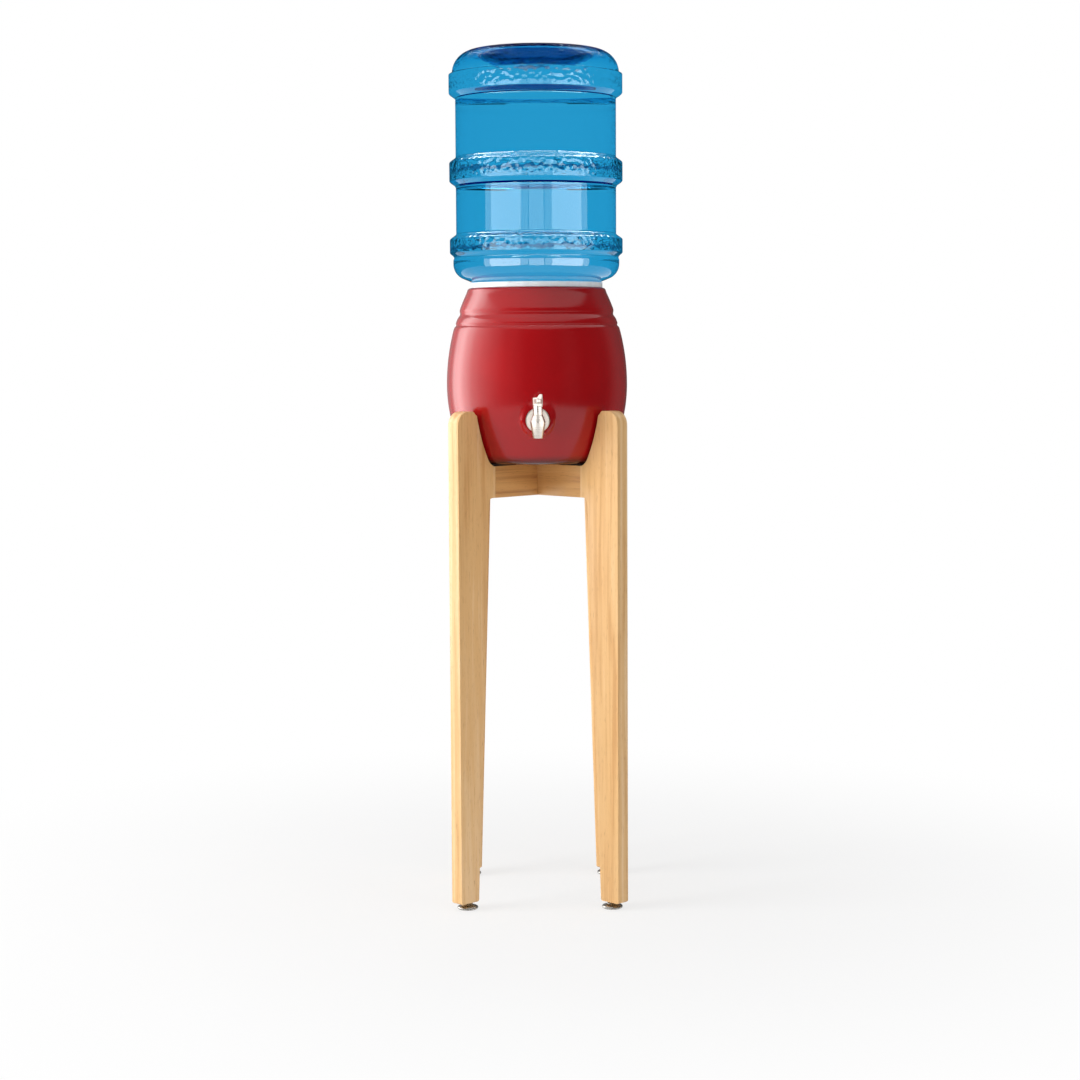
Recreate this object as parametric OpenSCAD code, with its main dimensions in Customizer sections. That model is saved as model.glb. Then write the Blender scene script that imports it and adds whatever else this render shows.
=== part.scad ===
// Water crock on a tall wooden stand, with an upturned bottle and a cam-lever tap.
// The crock's axis is vertical, the tap points along -Y, and the feet stand on Z = 0.
// The origin is under the middle of the whole object's box, so the axis lies a little behind it.

/* [Stand] */
// Height of the wooden legs, without their feet
leg_h = 680; // [640:5:760]
// Width of a leg's tip, outside the crock's widest place and the cradle's gap
leg_tip_w = 32; // [29:0.5:36]
// Thickness of the leg and beam boards
board_t = 20; // [18:0.5:22]
// Width of a leg at its foot, measured along its board
leg_foot_w = 33; // [30:1:40]
// Width of a leg just under the beams
leg_top_w = 56.5; // [50:0.5:60]
// Radius of the rounded outer corner at the top of a leg
leg_crown_r = 19; // [10:1:22]
// Radius of the hollow corner between a leg and its beam
haunch_r = 8; // [4:1:12]
// Depth of the cross beams
beam_h = 43.6; // [36:0.2:50]
// How far a leg's haunch reaches in past its hollow corner
haunch_l = 5.6; // [4:0.2:10]
// How far the legs reach up beside the crock, above its base
cradle_h = 73.4; // [65:0.2:80]
// Space between the crock and the cradle that the leg tops form
cradle_gap = 4; // [2:0.5:5]
// Thickness of the rubber pads that the crock stands on
pad_t = 3; // [2:0.5:4]
// Diameter of the dowels in the beam joints
dowel_d = 8; // [6:1:10]

/* [Levelling feet] */
// Diameter of a foot's disc
foot_d = 29; // [24:1:31]
// Height of a foot's disc
foot_h = 8; // [7:0.5:8.5]
// Distance from the floor to the wood
foot_gap = 10; // [10:0.5:14]
// Diameter of a foot's threaded stud
stud_d = 8; // [6:1:9]

/* [Crock] */
// Height of the crock with its bottle seat
crock_h = 250; // [240:1:260]
// Largest radius of the crock
belly_r = 126.5; // [122:0.5:128]
// Height of the crock's widest place above its base
belly_z = 108; // [100:1:115]
// Radius of the side's curve below the belly
lower_curve_r = 215; // [205:1:230]
// Radius of the rounded edge of the base
base_edge_r = 16; // [14:0.5:18]
// Thickness of the crock's wall
wall_t = 8; // [6:0.5:9]
// Radius of the mouth
mouth_r = 80; // [78:0.5:82]
// Width of the crock's rim, from the mouth to the line of its side
rim_w = 14.7; // [13:0.1:16]
// Height of the lower of the two grooves
groove_low_z = 190.5; // [186:0.5:194]
// Height of the upper of the two grooves
groove_high_z = 205; // [202:0.5:210]

/* [Bottle seat] */
// Height of the seat ring that shows above the crock
seat_h = 7.5; // [6:0.5:9]
// How far the seat ring laps over the rim, outside the mouth
seat_lap = 12.3; // [10:0.1:14]
// Slope of the seat, which the bottle's shoulder matches
seat_slope = 22; // [18:0.5:24]

/* [Bottle] */
// Radius of the bottle's wall between the ribs
bottle_r = 111.7; // [108:0.1:114]
// How far the ribs stand out from the wall
rib_out = 9; // [6:0.5:10]
// Height of the bottle above its seat
bottle_h = 319.4; // [310:0.2:335]
// Thickness of the bottle's wall
bottle_wall = 1.6; // [1.4:0.1:2.4]
// Radius of the neck
neck_r = 27.5; // [25:0.5:30]
// Length of the neck below the shoulder
neck_l = 56; // [40:1:60]

/* [Tap] */
// Height of the tap's shank above the crock's base
tap_up = 62; // [58:0.5:70]
// Radius of the flat round face on the crock that the tap is clamped to
tap_face_r = 21; // [19:0.5:24]
// How far that face lies inside the crock's largest radius
tap_face_in = 2.5; // [1:0.5:3]
// Distance from the flange to the middle of the spout
spout_reach = 22.5; // [21:0.5:28]
// Radius of the flange
flange_r = 16.5; // [15:0.5:18]
// Radius of the threaded shank
shank_r = 7.9; // [7:0.1:8.4]
// Largest radius of the tap's body
body_r = 10.2; // [9.8:0.1:11]
// Radius of the spout's lip
lip_r = 6.7; // [6.2:0.1:7.5]
// Length of the spout below the shank's centre line
spout_down = 23.4; // [22:0.2:27]
// Radius of the bonnet
bonnet_r = 6.25; // [6:0.05:6.6]
// Radius of the lever's hub
lever_r = 6.7; // [6.5:0.1:7.3]
// Distance from the stem to the tip of the lever
lever_reach = 17; // [14:0.5:22]
// Slope of the cam faces between lever and bonnet
cam_slope = 10.5; // [8:0.5:12]
// Turns of the closing spring
spring_turns = 6; // [4:1:7]

/* [Hidden] */
$fn = 96;
run_gap = 0.05;                 // running clearance on the radius
seat_gap = 0.3;                 // space between curved faces that meet
dowel_l = 30;
dowel_hole = dowel_l / 2 + 1;   // depth of a dowel's hole in each of the two pieces
insert_h = 15;
insert_wall = 1.5;
rest_gap = 0.15;                // space between the cam faces

// stand, measured along a leg's board from the crock's axis
leg_out = belly_r + cradle_gap + leg_tip_w;
leg_low = foot_gap;
leg_high = foot_gap + leg_h;
leg_foot_in = leg_out - leg_foot_w;
leg_waist_in = leg_out - leg_top_w;
foot_at = (leg_foot_in + leg_out) / 2 - 4;
beam_l = 2 * (leg_waist_in - haunch_r - haunch_l);
crock_z = leg_high - cradle_h;              // underside of the crock
beam_top = crock_z - pad_t;
beam_low = beam_top - beam_h;
leg_angles = [-135, -45, 135, 45];          // front left, front right, rear left, rear right

// crock
rim_z = crock_h - seat_h;                   // top of the crock's own rim, above its base
lower_x = belly_r - lower_curve_r;          // centre of the lower side curve
side_in = belly_r - mouth_r - rim_w;        // how far the side leans in from belly to rim
upper_curve_r = (pow(side_in, 2) + pow(rim_z - belly_z, 2)) / (2 * side_in);
upper_x = belly_r - upper_curve_r;
edge_x = lower_x + sqrt(pow(lower_curve_r - base_edge_r, 2) - pow(belly_z - base_edge_r, 2));

// bottle, above the floor
seat_z = crock_z + crock_h;
seat_r = mouth_r + seat_lap;
shoulder_r = 22;
shoulder_x = bottle_r - 17.7;
shoulder_in_x = shoulder_x + shoulder_r * sin(seat_slope);
shoulder_in_z = seat_z + seat_gap + (shoulder_in_x - seat_r + 3.3) * tan(seat_slope);
shoulder_z = shoulder_in_z + shoulder_r * cos(seat_slope);
neck_top_z = shoulder_in_z - (shoulder_in_x - neck_r - 3) * tan(seat_slope);
mouth_z = neck_top_z - neck_l;
crown_r = 31;                               // rounded edge round the bottle's base
bottle_top = seat_z + bottle_h;
rib_edge = 10;                              // height over which a rib rises from the wall
function up_bottle(share) = seat_z + share * bottle_h;
rib_low = [up_bottle(0.1033), up_bottle(0.2129)];
rib_mid = [up_bottle(0.4133), up_bottle(0.5448)];
rib_high = [up_bottle(0.7921), up_bottle(0.9236)];

// tap
tap_z = crock_z + tap_up;
tap_face_out = belly_r - tap_face_in;
gasket_t = 1.5;
flange_t = 2;
flange_out = tap_face_out + gasket_t + flange_t;
stem_out = flange_out + spout_reach;        // distance of the stem's axis from the crock's
inner_gasket_t = 3;
inner_gasket_r = 15;
// the crock's inside radius where the inner gasket comes nearest to it
wall_in_low = lower_x + sqrt(pow(lower_curve_r - wall_t, 2)
                             - pow(belly_z - tap_up + inner_gasket_r, 2));
inner_face_out = wall_in_low - 0.8;
nut_t = 6;
shank_end_out = inner_face_out - inner_gasket_t - nut_t - 3.5;
chamber_r = 5.4;
seal_z = tap_z - 6;
seal_t = 2.5;
collar_t = 2;
collar_z = seal_z + seal_t;
body_top = tap_z + 8;
bonnet_foot_z = tap_z + 4.2;
shoulder_in_bonnet = tap_z + 12.5;
stem_r = 2.5;
oring_z = tap_z + 16;
oring_wire = 0.45;
cam_z = tap_z + 19.8;                       // height of the cam faces on the stem's axis
stem_top = cam_z + 7;
pin_z = cam_z + 4.6;
pin_r = 1;
pin_front = 5.5;                            // how far the pin reaches in front of the stem's axis
spring_wire = 0.45;
spring_r = 3.7;

reach_front = stem_out + lever_reach;
axis_y = (reach_front - belly_r) / 2;       // puts the origin under the middle of the box

// ---------- helpers ----------

// Points of an arc about [cx, cy], from angle a to angle b
function arc(cx, cy, r, a, b, n = 8) =
    [for (i = [0:n]) let (t = a + (b - a) * i / n) [cx + r * cos(t), cy + r * sin(t)]];

// The crock's lower outline, pushed outwards by gap, from the base up to height top
function lower_outline(gap, top) =
    let (meet = asin((belly_z - base_edge_r) / (lower_curve_r - base_edge_r)),
         end = asin((belly_z - top) / (lower_curve_r + gap)))
    concat(arc(edge_x, base_edge_r, base_edge_r + gap, -90, -meet, 8),
           [for (i = [1:10]) let (t = -meet + (meet - end) * i / 10)
               [lower_x + (lower_curve_r + gap) * cos(t),
                belly_z + (lower_curve_r + gap) * sin(t)]]);

// A smooth dip of depth d and half-width w about height c
function dip(z, c, w, d) = d * exp(-pow((z - c) / w, 2));

// The crock's radius above the belly, with the two grooves and the bead between them
function upper_radius(z) =
    upper_x + sqrt(pow(upper_curve_r, 2) - pow(z - belly_z, 2))
    - dip(z, groove_low_z, 2, 1.7)
    - dip(z, (groove_low_z + groove_high_z) / 2, 8, 0.8)
    - dip(z, groove_high_z + 0.6, 4.2, 2.6);

// 0 below lo, 1 above hi, and a smooth rise between them
function rise(z, lo, hi) = let (t = max(0, min(1, (z - lo) / (hi - lo)))) t * t * (3 - 2 * t);

// The bottle's radius between shoulder and crown: the wall and its three ribs
function rib(z, band) =
    rib_out * (rise(z, band[0], band[0] + rib_edge) - rise(z, band[1] - rib_edge, band[1]));
function bottle_radius(z) = bottle_r + rib(z, rib_low) + rib(z, rib_mid) + rib(z, rib_high);

// Puts children on the crock's axis
module on_axis() { translate([0, axis_y, 0]) children(); }

// Puts children, drawn along a leg's board, at the corner with the given angle
module at_corner(angle) { on_axis() rotate([0, 0, angle]) children(); }

// Extrudes an outline drawn as [distance from axis, height] into an upright board
module board() {
    translate([0, board_t / 2, 0]) rotate([90, 0, 0]) linear_extrude(board_t) children();
}

// A cylinder along Y, from distance a to distance b in front of the crock's axis
module along_tap(a, b, r) {
    on_axis() translate([0, -a, tap_z]) rotate([90, 0, 0]) cylinder(h = b - a, r = r);
}

// Puts children on the tap's stem
module on_stem() { on_axis() translate([0, -stem_out, 0]) children(); }

// ---------- stand ----------

module leg_outline() {
    foot_bevel = 2;
    polygon(concat(
        [[leg_foot_in, leg_low + foot_bevel], [leg_foot_in + foot_bevel, leg_low],
         [leg_out - foot_bevel, leg_low], [leg_out, leg_low + foot_bevel]],
        arc(leg_out - leg_crown_r, leg_high - leg_crown_r, leg_crown_r, 0, 90, 10),
        arc(belly_r + cradle_gap + 4.5, leg_high - 4.5, 4.5, 90, 165, 4),
        cradle_points(),
        [[beam_l / 2, beam_top], [beam_l / 2, beam_low]],
        arc(leg_waist_in - haunch_r, beam_low - haunch_r, haunch_r, 90, 0, 6)));
}

// The cradle's curve, from the leg's top down to the beam
function cradle_points() =
    let (p = [for (q = lower_outline(cradle_gap, cradle_h - 6.4)) if (q[0] > beam_l / 2 + 0.5) q],
         n = len(p))
    [for (i = [0:n - 1]) [p[n - 1 - i][0], crock_z + p[n - 1 - i][1]]];

module dowel_holes(depth, extra) {
    for (z = [beam_low + 11, beam_top - 11])
        translate([beam_l / 2 - extra, 0, z]) rotate([0, 90, 0])
            cylinder(h = depth + extra, d = dowel_d);
}

module leg(angle) {
    color("burlywood")
    at_corner(angle) difference() {
        board() leg_outline();
        dowel_holes(dowel_hole, 1);
        translate([foot_at, 0, leg_low - 1]) cylinder(h = insert_h + 1, d = stud_d + 2 * insert_wall);
        translate([foot_at, 0, leg_low]) cylinder(h = 2 * insert_h, d = stud_d + 1);
    }
}

// One of the two crossing beams. The notch is in its top or its underside.
module beam(angle, notch_low) {
    lap = 0.1;
    color("tan")
    at_corner(angle) difference() {
        translate([-beam_l / 2, -board_t / 2, beam_low]) cube([beam_l, board_t, beam_h]);
        translate([-board_t / 2 - lap, -board_t, notch_low])
            cube([board_t + 2 * lap, 2 * board_t, beam_h / 2 + 1]);
        for (side = [0, 180]) rotate([0, 0, side]) mirror([1, 0, 0])
            translate([-beam_l, 0, 0]) dowel_holes(dowel_hole, 1);
    }
}

module beam_under() { beam(45, beam_low + beam_h / 2); }
module beam_over() { beam(-45, beam_low - 1); }

module beam_dowels() {
    color("wheat")
    for (angle = leg_angles) at_corner(angle)
        for (z = [beam_low + 11, beam_top - 11])
            translate([(beam_l - dowel_l) / 2, 0, z]) rotate([0, 90, 0])
                cylinder(h = dowel_l, d = dowel_d - 0.05);
}

module crock_pads() {
    pad_w = 16;
    pad_l = 42.4;
    color("dimgray")
    for (angle = leg_angles) at_corner(angle)
        translate([beam_l / 2 - pad_l, -pad_w / 2, beam_top]) cube([pad_l, pad_w, pad_t - run_gap]);
}

module foot_inserts() {
    color("darkgoldenrod")
    for (angle = leg_angles) at_corner(angle) translate([foot_at, 0, leg_low])
        difference() {
            cylinder(h = insert_h, d = stud_d + 2 * insert_wall);
            translate([0, 0, -1]) cylinder(h = insert_h + 2, r = stud_d / 2 + run_gap);
        }
}

// ---------- levelling feet ----------

module foot_disc(angle) {
    disc_r = foot_d / 2;
    hub_r = stud_d / 2 + 3;
    color("silver")
    at_corner(angle) translate([foot_at, 0, 0]) rotate_extrude()
        polygon(concat([[stud_d / 2, 0], [disc_r - 0.8, 0], [disc_r, 0.8], [disc_r, 3]],
            arc(disc_r - 1.5, 3, 1.5, 0, 70, 4),
            [[hub_r, foot_h - 1.2], [hub_r - 1, foot_h], [stud_d / 2, foot_h]]));
}

module foot_stud(angle) {
    color("gainsboro")
    at_corner(angle) translate([foot_at, 0, 1]) cylinder(h = leg_low + insert_h + 9, d = stud_d);
}

// ---------- crock and bottle seat ----------

// The outside of the crock, from the middle of its base to the middle of its top
module crock_outside() {
    rim_edge = 5;
    rim_r = upper_radius(rim_z - rim_edge);
    polygon(concat([[0, 0]],
        lower_outline(0, belly_z),
        [for (z = [belly_z + 6:6:groove_low_z - 6]) [upper_radius(z), z]],
        [for (z = [groove_low_z - 5:1:groove_high_z + 9]) [upper_radius(z), z]],
        [for (z = [groove_high_z + 12:4:rim_z - rim_edge - 1]) [upper_radius(z), z]],
        arc(rim_r - rim_edge, rim_z - rim_edge, rim_edge, 15, 90, 6),
        [[0, rim_z]]));
}

// The hollow inside the crock, up through its mouth
module crock_inside() {
    floor_t = wall_t + 2;
    corner = 18;
    side_x = lower_x + lower_curve_r - wall_t;
    foot_x = lower_x + sqrt(pow(lower_curve_r - wall_t - corner, 2)
                            - pow(belly_z - floor_t - corner, 2));
    meet = asin((belly_z - floor_t - corner) / (lower_curve_r - wall_t - corner));
    polygon(concat([[0, floor_t]],
        arc(foot_x, floor_t + corner, corner, -90, -meet, 6),
        [for (i = [1:8]) let (t = -meet * (1 - i / 8))
            [lower_x + (lower_curve_r - wall_t) * cos(t),
             belly_z + (lower_curve_r - wall_t) * sin(t)]],
        [for (z = [belly_z + 12:12:rim_z - 26])
            [upper_x + sqrt(pow(upper_curve_r - wall_t, 2) - pow(z - belly_z, 2)), z]],
        [[mouth_r + 6, rim_z - 14], [mouth_r, rim_z - 8], [mouth_r, rim_z - 2],
         [mouth_r + 2, rim_z], [mouth_r + 2, rim_z + 1], [0, rim_z + 1]]));
}

module crock() {
    foot_hollow_r = edge_x - base_edge_r;
    color("firebrick")
    difference() {
        on_axis() translate([0, 0, crock_z]) union() {
            difference() {
                rotate_extrude($fn = 180) crock_outside();
                rotate_extrude($fn = 180) crock_inside();
                translate([0, 0, -1]) cylinder(h = 3, r = foot_hollow_r);
            }
            intersection() {
                translate([0, -inner_face_out, tap_up]) rotate([90, 0, 0])
                    cylinder(h = tap_face_out - inner_face_out, r = tap_face_r);
                translate([0, 0, 4]) cylinder(h = 2 * tap_up, r = belly_r + 2);
            }
        }
        along_tap(tap_face_out, tap_face_out + 10, tap_face_r);
        along_tap(inner_face_out - 1, tap_face_out + 1, shank_r + 0.35);
    }
}

module seat_ring() {
    skirt_l = 20;
    skirt_out = mouth_r - 0.8;
    skirt_in = skirt_out - 4.2;
    lip_in = mouth_r - 8;
    flat_in = seat_r - 3.3;
    color("whitesmoke")
    on_axis() translate([0, 0, crock_z + rim_z]) rotate_extrude($fn = 180)
        polygon([[lip_in, 0], [skirt_in, -4], [skirt_in, -skirt_l], [skirt_out, -skirt_l],
                 [skirt_out, -2], [mouth_r + 1.8, 0], [seat_r - 1, 0], [seat_r, 1],
                 [seat_r, seat_h - 1], [seat_r - 1, seat_h], [flat_in, seat_h],
                 [lip_in, seat_h - (flat_in - lip_in) * tan(seat_slope)]]);
}

// ---------- bottle ----------

// The bottle's outline at distance in from its outer skin, from the neck's mouth to its base
function bottle_skin(in) =
    let (lift = in / cos(seat_slope), drop = in > 0 ? -1 : 0)
    concat(
        [[neck_r - in, mouth_z + drop], [neck_r - in, neck_top_z - 14]],
        in > 0 ? [[neck_r - in, neck_top_z - 4]] :
            [[neck_r + 2.5, neck_top_z - 13], [neck_r + 2.5, neck_top_z - 10],
             [neck_r, neck_top_z - 9], [neck_r, neck_top_z - 4]],
        [[neck_r + 3 - in * 0.6, neck_top_z + lift]],
        arc(shoulder_x, shoulder_z, shoulder_r - in, seat_slope - 90, 0, 7),
        [[bottle_r + 4.3 - in, rib_low[0] + 1]],
        bottle_band(rib_low, in, 5),
        bottle_band(rib_mid, in, 0),
        [for (i = [0:5]) let (z = rib_high[0] + rib_edge * i / 5) [bottle_radius(z) - in, z]],
        [[bottle_r + rib_out - in, rib_high[1] - rib_edge - 4],
         [bottle_r + 6 - in, rib_high[1] - rib_edge + 1]],
        arc(bottle_r + 4.3 - crown_r, bottle_top - crown_r, crown_r - in, 0, 90, 9),
        [[bottle_r - 32 - in * 0.5, bottle_top - in], [bottle_r - 38, bottle_top - 6 - in],
         [bottle_r - 60, bottle_top - 15 - in], [0, bottle_top - 18 - in]]);

// One rib's points, leaving out those below the height from which it starts
function bottle_band(band, in, skip) =
    concat([for (i = [skip:5]) let (z = band[0] + rib_edge * i / 5) [bottle_radius(z) - in, z]],
           [for (i = [0:5]) let (z = band[1] - rib_edge * (1 - i / 5)) [bottle_radius(z) - in, z]]);

module bottle() {
    color("deepskyblue", 0.6)
    on_axis() difference() {
        rotate_extrude($fn = 180) polygon(concat([[0, mouth_z]], bottle_skin(0)));
        rotate_extrude($fn = 180) polygon(concat([[0, mouth_z - 1]], bottle_skin(bottle_wall)));
    }
}

// ---------- tap ----------

module tap_body() {
    neck_x = chamber_r + 1.5;
    seat_r_in = 3.6;
    outlet_r = 4.6;
    color("silver")
    difference() {
        union() {
            on_stem() rotate_extrude() polygon(concat(
                [[0, tap_z - spout_down], [lip_r - 0.5, tap_z - spout_down],
                 [lip_r, tap_z - spout_down + 0.8]],
                arc(body_r - 3, tap_z - 1.6, 3, -12, 22, 6),
                [[neck_x, body_top - 0.9], [neck_x - 0.2, body_top - 0.3],
                 [neck_x - 0.6, body_top], [0, body_top]]));
            along_tap(flange_out, stem_out - bonnet_r - 0.4, 8.6);
            along_tap(shank_end_out, flange_out, shank_r);
        }
        on_stem() translate([0, 0, tap_z - spout_down - 1]) cylinder(h = 13, r = outlet_r);
        on_stem() translate([0, 0, tap_z - spout_down]) cylinder(h = 30, r = seat_r_in);
        on_stem() translate([0, 0, seal_z]) cylinder(h = 30, r = chamber_r);
        along_tap(shank_end_out - 1, stem_out, 3.4);
    }
}

// A flat ring round the shank, between distances a and b in front of the crock's axis
module shank_ring(a, b, r_out, r_in) {
    difference() {
        along_tap(a, b, r_out);
        along_tap(a - 1, b + 1, r_in);
    }
}

module tap_flange() {
    color("lightgray")
    shank_ring(tap_face_out + gasket_t, flange_out, flange_r, shank_r + run_gap);
}

module outer_gasket() {
    color("dimgray")
    shank_ring(tap_face_out, tap_face_out + gasket_t, flange_r - 0.8, shank_r + run_gap);
}

module inner_gasket() {
    color("dimgray")
    shank_ring(inner_face_out - inner_gasket_t, inner_face_out, inner_gasket_r,
               shank_r + run_gap);
}

module tap_nut() {
    nut_out = inner_face_out - inner_gasket_t;
    flats = 24;
    color("silver")
    difference() {
        on_axis() translate([0, -nut_out + nut_t, tap_z]) rotate([90, 0, 0])
            cylinder(h = nut_t, d = flats / cos(30), $fn = 6);
        along_tap(nut_out - nut_t - 1, nut_out + 1, shank_r + 0.02);
    }
}

// The half-space above the cam's sloping face, shifted up by lift
module above_cam(lift) {
    big = 40;
    translate([0, 0, cam_z + lift]) rotate([0, cam_slope, 0])
        translate([-big / 2, -big / 2, 0]) cube([big, big, big]);
}

module tap_bonnet() {
    color("silver")
    on_stem() difference() {
        union() {
            translate([0, 0, bonnet_foot_z]) cylinder(h = body_top - bonnet_foot_z + 1,
                                                     r = chamber_r - run_gap);
            translate([0, 0, body_top]) cylinder(h = cam_z - body_top + 3, r = bonnet_r);
        }
        above_cam(0);
        translate([0, 0, bonnet_foot_z - 1])
            cylinder(h = shoulder_in_bonnet - bonnet_foot_z + 1, r = chamber_r - 0.9);
        translate([0, 0, bonnet_foot_z]) cylinder(h = 30, r = stem_r + run_gap);
        translate([0, 0, oring_z - 0.6]) cylinder(h = 1.2, r = stem_r + 1);
    }
}

module stem_oring() {
    color("black")
    on_stem() translate([0, 0, oring_z]) rotate_extrude()
        translate([stem_r + run_gap + oring_wire, 0]) circle(r = oring_wire, $fn = 24);
}

module valve_stem() {
    color("gainsboro")
    on_stem() difference() {
        union() {
            translate([0, 0, collar_z - 2]) cylinder(h = 3, r = 1.5);
            translate([0, 0, collar_z]) cylinder(h = collar_t, r = 4.3);
            translate([0, 0, collar_z]) cylinder(h = stem_top - collar_z, r = stem_r);
        }
        translate([0, 0, pin_z - pin_r - 0.1]) difference() {
            cylinder(h = 2 * pin_r + 0.2, r = stem_r + 1);
            cylinder(h = 2 * pin_r + 0.2, r = stem_r - pin_r - 0.1);
        }
    }
}

module valve_seal() {
    color("black")
    on_stem() translate([0, 0, seal_z]) difference() {
        cylinder(h = seal_t, r = chamber_r - 0.8);
        translate([0, 0, -1]) cylinder(h = seal_t + 2, r = 1.5 + run_gap);
    }
}

// A coil of round wire, made as one closed skin of rings along the helix
module stem_spring() {
    sides = 8;
    steps = spring_turns * 18;
    low = collar_z + collar_t + spring_wire + 0.05;
    high = shoulder_in_bonnet - spring_wire - 0.05;
    ring = [for (i = [0:steps]) let (turn = 360 * spring_turns * i / steps)
        [for (k = [0:sides - 1]) let (a = 360 * k / sides)
            [(spring_r + spring_wire * cos(a)) * cos(turn),
             (spring_r + spring_wire * cos(a)) * sin(turn),
             low + (high - low) * i / steps + spring_wire * sin(a)]]];
    points = [for (r = ring, p = r) p];
    walls = [for (i = [0:steps - 1], k = [0:sides - 1]) let (m = (k + 1) % sides)
        [i * sides + k, (i + 1) * sides + k, (i + 1) * sides + m, i * sides + m]];
    ends = [[for (k = [0:sides - 1]) k],
            [for (k = [0:sides - 1]) steps * sides + sides - 1 - k]];
    color("silver")
    on_stem() polyhedron(points, concat(walls, ends), convexity = 10);
}

// The space above the lever's top, seen from the front: the top is low and nearly flat
// on the left, and a smooth slope leads up to a rounded hump on the right
module lever_top() {
    low = 11.4;
    high = 15.9;
    polygon(concat([[-lever_r - 1, 40], [-lever_r - 1, low - 0.9], [-lever_r + 0.2, low - 0.2]],
        [for (i = [0:16]) let (x = -lever_r + 0.8 + i * (2 * lever_r - 1.9) / 16)
            [x, low + (high - low) * rise(x, -1.7, 2.9)]],
        [[lever_r - 0.5, high - 0.4], [lever_r - 0.2, high - 1.1], [lever_r + 1, high - 4],
         [lever_r + 1, 40]]));
}

// The grip's outline seen from the side, as [distance in front of the stem, height above the cam]
module grip_side() {
    polygon([[0, 3.6], [lever_r, 3.6], [lever_reach - 1.6, 5], [lever_reach - 0.4, 6],
             [lever_reach, 7.4], [lever_reach - 0.3, 8.9], [lever_reach - 1.5, 9.9],
             [lever_reach - 4, 10], [lever_r + 1, 9.6], [0, 9.6]]);
}

// The grip's outline seen from above, narrower towards its rounded tip
module grip_plan() {
    tip_r = 3.1;
    tip_x = 1.1;
    polygon(concat([[-lever_r + 1.2, 0], [-lever_r + 1.2, -3]],
        arc(tip_x, tip_r - lever_reach, tip_r, 190, 350, 8),
        [[lever_r - 1.2, -3], [lever_r - 1.2, 0]]));
}

module lever() {
    color("silver")
    on_stem() difference() {
        union() {
            translate([0, 0, cam_z - 3]) cylinder(h = 19.2, r = lever_r);
            translate([0, 0, cam_z]) intersection() {
                translate([-lever_r, 0, 0]) rotate([90, 0, 90])
                    linear_extrude(2 * lever_r) mirror([1, 0]) grip_side();
                linear_extrude(20) grip_plan();
            }
        }
        difference() {
            translate([0, 0, cam_z - 6]) cylinder(h = 30, r = 2 * lever_reach);
            above_cam(rest_gap);
        }
        translate([0, lever_r + 1, cam_z]) rotate([90, 0, 0])
            linear_extrude(2 * lever_r + 2) lever_top();
        translate([0, 0, cam_z - 3]) cylinder(h = stem_top - cam_z + 3.2, r = stem_r + run_gap);
        translate([stem_r, 0, pin_z]) rotate([90, 0, 0]) translate([0, 0, -10])
            cylinder(h = 10 + pin_front + 0.1, r = pin_r);
    }
}

module lever_pin() {
    color("gray")
    on_stem() intersection() {
        translate([stem_r, 0, pin_z]) rotate([90, 0, 0]) translate([0, 0, -10])
            cylinder(h = 10 + pin_front, r = pin_r - 0.02);
        translate([0, 0, pin_z - 3]) cylinder(h = 6, r = lever_r - 0.2);
    }
}

// ---------- one line per piece ----------

leg(leg_angles[0]);  // leg_front_left
leg(leg_angles[1]);  // leg_front_right
leg(leg_angles[2]);  // leg_rear_left
leg(leg_angles[3]);  // leg_rear_right
beam_under();
beam_over();
beam_dowels();
crock_pads();
foot_inserts();
foot_disc(leg_angles[0]);  // foot_disc_front_left
foot_disc(leg_angles[1]);  // foot_disc_front_right
foot_disc(leg_angles[2]);  // foot_disc_rear_left
foot_disc(leg_angles[3]);  // foot_disc_rear_right
foot_stud(leg_angles[0]);  // foot_stud_front_left
foot_stud(leg_angles[1]);  // foot_stud_front_right
foot_stud(leg_angles[2]);  // foot_stud_rear_left
foot_stud(leg_angles[3]);  // foot_stud_rear_right
crock();
seat_ring();
bottle();
tap_body();
tap_flange();
outer_gasket();
inner_gasket();
tap_nut();
tap_bonnet();
stem_oring();
valve_stem();
valve_seal();
stem_spring();
lever();
lever_pin();
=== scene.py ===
"""Looks of a water crock on a tall wooden stand, with an upturned bottle and a cam-lever tap.

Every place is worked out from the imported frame, in metres. The crock's axis is vertical,
-Y is the front, and the feet stand on Z = 0.
"""

import math

import bmesh
import bpy
from mathutils import Matrix, Vector


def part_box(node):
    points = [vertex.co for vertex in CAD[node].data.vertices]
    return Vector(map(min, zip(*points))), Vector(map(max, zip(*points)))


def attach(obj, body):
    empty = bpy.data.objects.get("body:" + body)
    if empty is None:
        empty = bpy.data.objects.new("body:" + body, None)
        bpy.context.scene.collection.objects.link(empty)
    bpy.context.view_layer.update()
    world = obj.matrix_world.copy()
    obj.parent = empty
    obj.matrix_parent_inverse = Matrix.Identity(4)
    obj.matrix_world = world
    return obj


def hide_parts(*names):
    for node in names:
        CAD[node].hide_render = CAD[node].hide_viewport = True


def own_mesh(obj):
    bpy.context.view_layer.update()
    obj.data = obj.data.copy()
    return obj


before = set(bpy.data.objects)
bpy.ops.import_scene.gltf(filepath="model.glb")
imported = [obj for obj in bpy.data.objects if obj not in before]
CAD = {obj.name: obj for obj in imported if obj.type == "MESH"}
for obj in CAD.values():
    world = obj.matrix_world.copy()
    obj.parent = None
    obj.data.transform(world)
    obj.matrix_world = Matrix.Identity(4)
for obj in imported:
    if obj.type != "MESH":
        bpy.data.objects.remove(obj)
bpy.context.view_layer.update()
MM = 0.001


# ---------- places from the frame ----------

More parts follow.
